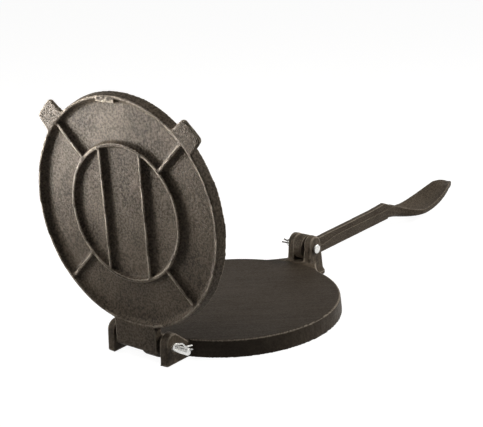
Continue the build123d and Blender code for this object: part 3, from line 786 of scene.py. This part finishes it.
# Each lamp's name, its setting and how much of it, its turn from +X in degrees, its reach,
# height and size in metres, its colour, its aim, and its spread in degrees
LAMPS = (
    ("key", "key", 1, 112, 0.50, 0.13, 0.22, KEY_COLOUR, (-0.12, 0.060, 0.25), 42),
    ("front_fill", "fill", 1.9, 318, 0.90, 0.60, 0.4, FILL_COLOUR, WIDE_AIM, 180),
    ("right_fill", "fill", 0.05, 0, 0.90, 0.90, 0.4, FILL_COLOUR, WIDE_AIM, 180),
    ("back_fill", "fill", 1.3, 118, 0.90, 0.90, 0.4, FILL_COLOUR, WIDE_AIM, 180),
    ("hinge_light", "fill", 0.30, 145, 0.70, 0.10, 0.2, FILL_COLOUR, (-0.13, 0.0, 0.01), 16),
    ("clevis_light", "fill", 0.8, 125, 0.90, 0.25, 0.2, FILL_COLOUR, (0.115, 0.0, 0.03), 14),
)
# Energy that a lamp of this spread needs for the same light at its aim, against a wide one's
BEAMS = {180: 1.0, 42: 0.15, 16: 0.018, 14: 0.014}
# The camera's height over its aim and its lean as angles, its aim and its distance in mm
VIEW_HEIGHT = math.radians(17.84)
VIEW_LEAN = math.radians(-2.64)
VIEW_AIM = (232.52, 172.07, 0.0)
VIEW_DISTANCE = 1452.92
SENSOR_WIDTH = 36.0


def any_ray(tree, first, *others):
    """1 for a ray of any of these kinds."""
    paths = tree.nodes.new("ShaderNodeLightPath")
    value = paths.outputs[first]
    for kind in others:
        value = math_node(tree, "MAXIMUM", value, paths.outputs[kind])
    return value


def white_table(studio):
    """A pale table that looks white to the camera, and keeps the shadow of the press."""
    mesh = bpy.data.meshes.new("table")
    bm = bmesh.new()
    bmesh.ops.create_grid(bm, x_segments=8, y_segments=8, size=TABLE_HALF)
    bm.to_mesh(mesh)
    bm.free()
    table = bpy.data.objects.new("table", mesh)
    table.location.z = -TABLE_GAP
    bpy.context.scene.collection.objects.link(table)
    material, tree, shader = new_material("White table")
    shader.inputs["Roughness"].default_value = TABLE_ROUGHNESS
    shader.inputs["Specular IOR Level"].default_value = 0.0
    shader.inputs["Base Color"].default_value = studio.table
    shader.inputs["Emission Color"].default_value = (1, 1, 1, 1)
    seen = any_ray(tree, "Is Camera Ray", "Is Glossy Ray", "Is Transmission Ray")
    tree.links.new(product(tree, seen, studio.glow), shader.inputs["Emission Strength"])
    mesh.materials.append(material)


def room_light(studio):
    """Weak light of the room, brighter overhead, with a white room for reflections."""
    world = bpy.data.worlds.new("Room")
    bpy.context.scene.world = world
    world.use_nodes = True
    tree = world.node_tree
    background = tree.nodes["Background"]
    background.inputs["Color"].default_value = ROOM_COLOUR
    split = tree.nodes.new("ShaderNodeSeparateXYZ")
    tree.links.new(tree.nodes.new("ShaderNodeTexCoord").outputs["Generated"], split.inputs[0])
    room = ramp_value(tree, split.outputs["Z"], -0.1, 0.9,
                      studio.sky * ROOM_LOW, studio.sky * ROOM_HIGH)
    shown = any_ray(tree, "Is Glossy Ray", "Is Transmission Ray")
    tree.links.new(total(tree, room, product(tree, shown, ROOM_SHOWN)),
                   background.inputs["Strength"])


def area_lamp(name, light, turn, reach, height, size, colour, aim, spread):
    """A round lamp that gives this much light, 1 being plain, on a face turned to it at its aim."""
    aim = Vector(aim)
    turn = math.radians(turn)
    spot = Vector((LAMP_CENTRE + reach * math.cos(turn), reach * math.sin(turn), height))
    data = bpy.data.lights.new(name, "AREA")
    data.shape = "DISK"
    data.size = size
    data.energy = light * BEAMS[spread] * math.pi * (spot - aim).length_squared
    data.spread = math.radians(spread)
    data.color = colour
    lamp = bpy.data.objects.new(name, data)
    bpy.context.scene.collection.objects.link(lamp)
    lamp.location = spot
    lamp.rotation_euler = (aim - spot).to_track_quat("-Z", "Y").to_euler()
    lamp.visible_camera = False


def photo_view():
    """The camera's place, from its turn about the press, its height, its lean and its distance."""
    back = Vector((math.sin(VIEW_TURN) * math.cos(VIEW_HEIGHT),
                   -math.cos(VIEW_TURN) * math.cos(VIEW_HEIGHT), math.sin(VIEW_HEIGHT)))
    level = Vector((math.cos(VIEW_TURN), math.sin(VIEW_TURN), 0.0))
    rise = back.cross(level)
    right = level * math.cos(VIEW_LEAN) + rise * math.sin(VIEW_LEAN)
    up = rise * math.cos(VIEW_LEAN) - level * math.sin(VIEW_LEAN)
    view = Matrix((right, up, back)).transposed().to_4x4()
    view.translation = Vector(VIEW_AIM) * MM + back * VIEW_DISTANCE * MM
    return view


# ---------------------------------------------------------------- operators
class PRESS_OT_base_casting(bpy.types.Operator):
    """Make the base casting"""

    bl_idname = "press.base_casting"
    bl_label = "Base casting"

    def execute(self, context):
        iron = context.scene.press_iron
        # The disc takes the pressing colour, partly painted shade; the ears beyond it take the
        # skin.
        skin = iron_material(
            "Iron base", tuple(iron.pressing), tuple(iron.dark), iron.roughness,
            grain_share=0.8, relief_share=0.5, pits=0.25, wear_and_highlight=0.8, wiped=0.6,
            ears=tuple(iron.skin))
        mesh = cast_mesh("base_cast", welded_copy("base_casting"), voxel=1.05, passes=2,
                         lumps=0.14, ground=Vector((0, 0, 1)))
        new_piece("base_cast", mesh, skin, "base_casting", "base")
        return {"FINISHED"}


class PRESS_OT_press_plate(bpy.types.Operator):
    """Make the press plate"""

    bl_idname = "press.press_plate"
    bl_label = "Press plate"

    def execute(self, context):
        iron = context.scene.press_iron
        skin = iron_material("Iron plate", tuple(iron.skin), tuple(iron.dark), iron.roughness)
        face = Vector((math.sin(OPEN_ANGLE), 0, -math.cos(OPEN_ANGLE)))
        mesh = cast_mesh("plate_cast", welded_copy("press_plate"), voxel=0.95, passes=2,
                         lumps=0.13, ground=face)
        new_piece("plate_cast", mesh, skin, "press_plate", "plate")
        raw = iron_material(
            "Iron broken", STUB_SKIN, STUB_DARK, STUB_ROUGHNESS,
            grain_share=0.6, pits=0.3, wear_and_highlight=0.8)
        stub = cast_mesh("gate_stub", gate_stub_bmesh(), voxel=0.35, passes=2, lumps=0.9)
        new_piece("gate_stub", stub, raw, None, "plate")
        return {"FINISHED"}


class PRESS_OT_lever(bpy.types.Operator):
    """Make the lever"""

    bl_idname = "press.lever"
    bl_label = "Lever"

    def execute(self, context):
        iron = context.scene.press_iron
        # The lever's colour is the skin darkened as painted shade.
        skin = iron_material(
            "Iron lever", shade(iron.skin, LEVER_PAINTED_SHADE), tuple(iron.dark), iron.roughness,
            grain_share=0.8, relief_share=0.6, wear_and_highlight=0.6)
        mesh = cast_mesh("lever_cast", lever_bmesh(), voxel=0.55, passes=4, lumps=0.10)
        new_piece("lever_cast", mesh, skin, "lever", "lever")
        return {"FINISHED"}


class PRESS_OT_pins(bpy.types.Operator):
    """Make the two hinge pins and their clips"""

    bl_idname = "press.pins"
    bl_label = "Pins and clips"

    def execute(self, context):
        plated = steel_material("Plated steel")
        for node_name, head_side in (("hinge_pin", 1), ("lever_pin", -1)):
            new_piece(node_name + "_turned", pin_mesh(node_name, head_side), plated,
                      node_name, "base")
        for node_name, joint, across, turn, outward in CLIPS:
            spot = Vector((joint.x, across * MM, joint.z))
            wire = clip_curve(node_name + "_wire", spot, math.radians(turn), outward)
            new_piece(node_name + "_wire", wire, plated, node_name, "base")
        return {"FINISHED"}


class PRESS_OT_studio(bpy.types.Operator):
    """Set up the white table, the lamps and the camera"""

    bl_idname = "press.studio"
    bl_label = "Studio"

    def execute(self, context):
        studio = context.scene.press_studio
        white_table(studio)
        room_light(studio)
        for name, setting, share, *place in LAMPS:
            area_lamp(name, share * getattr(studio, setting), *place)
        camera_data = bpy.data.cameras.new("camera")
        camera_data.lens = studio.lens
        camera_data.sensor_width = SENSOR_WIDTH
        camera = bpy.data.objects.new("camera", camera_data)
        context.scene.collection.objects.link(camera)
        camera.matrix_world = photo_view()
        context.scene.camera = camera
        context.scene.view_settings.view_transform = "Standard"
        return {"FINISHED"}


class VIEW3D_PT_press(bpy.types.Panel):
    """Tortilla press"""

    bl_label = "Tortilla press"
    bl_space_type = "VIEW_3D"
    bl_region_type = "UI"
    bl_category = "Press"

    def draw(self, context):
        for step in STEPS:
            self.layout.operator(step.bl_idname)
        for name, group in SETTINGS.items():
            box = self.layout.box()
            for prop in group.__annotations__:
                box.prop(getattr(context.scene, name), prop)


STEPS = (PRESS_OT_base_casting, PRESS_OT_press_plate, PRESS_OT_lever, PRESS_OT_pins,
         PRESS_OT_studio)


def register():
    """Registers the settings, the operators and the panel."""
    for cls in (*SETTINGS.values(), *STEPS, VIEW3D_PT_press):
        bpy.utils.register_class(cls)
    for name, group in SETTINGS.items():
        setattr(bpy.types.Scene, name, bpy.props.PointerProperty(type=group))


def unregister():
    """Takes back what register did."""
    for name in SETTINGS:
        delattr(bpy.types.Scene, name)
    for cls in (VIEW3D_PT_press, *reversed(STEPS), *reversed(SETTINGS.values())):
        bpy.utils.unregister_class(cls)


def main():
    """Makes the whole press and its studio."""
    register()
    bpy.ops.press.base_casting()
    bpy.ops.press.press_plate()
    bpy.ops.press.lever()
    bpy.ops.press.pins()
    bpy.ops.press.studio()


if __name__ == "__main__":
    main()
